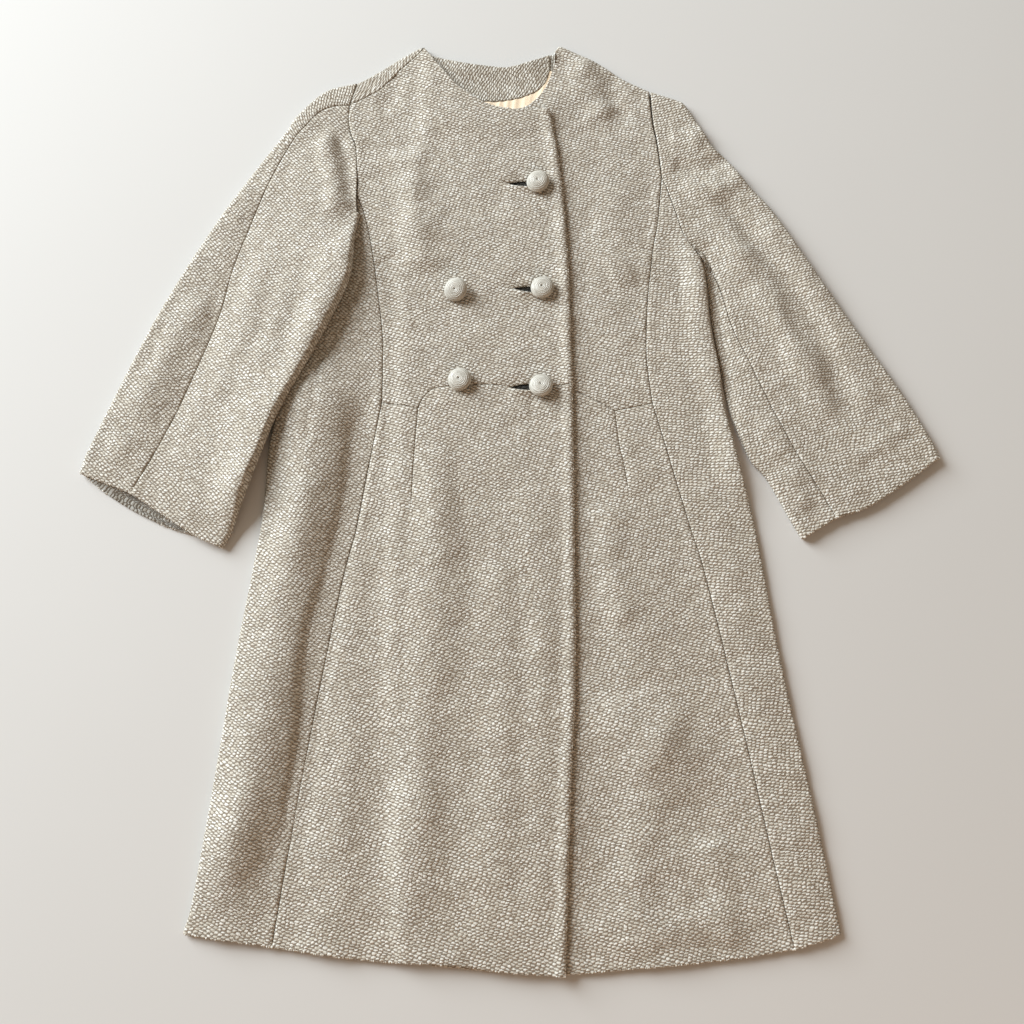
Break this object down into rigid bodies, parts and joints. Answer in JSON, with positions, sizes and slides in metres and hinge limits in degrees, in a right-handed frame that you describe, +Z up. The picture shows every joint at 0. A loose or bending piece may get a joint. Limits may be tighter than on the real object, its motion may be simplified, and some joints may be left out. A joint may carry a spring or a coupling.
{
  "type": "coat",
  "caption": "Collarless double-breasted woollen coat with three-quarter sleeves and a flared skirt, laid flat face up on its back with its front lapped over and buttoned.",
  "frame": {"origin": "on the surface that the coat lies on, under the middle of its whole outline", "axes": "+Y from hem to neck along the coat's length, +X to the wearer's left (the right of the picture), +Z up out of the coat's face"},
  "size_m": [0.901, 0.992, 0.0246],
  "materials": {
    "wool": "nubby matte basket weave in oatmeal wool",
    "satin": "soft satin lining",
    "button": "matte, faintly ringed by turning"
  },
  "bodies": {
    "root": {"back": "wool", "back_neck_facing": "wool", "lining": "satin", "front_left_bodice": "wool", "front_left_skirt": "wool", "side_front_left": "wool", "front_right_bodice": "wool", "front_right_skirt": "wool", "side_front_right": "wool", "sleeve_right_front": "wool", "sleeve_right_back": "wool", "sleeve_left_front": "wool", "sleeve_left_back": "wool", "button_top": "button", "button_middle": "button", "button_waist": "button", "button_inner_middle": "button", "button_inner_waist": "button"}
  },
  "joints": []
}
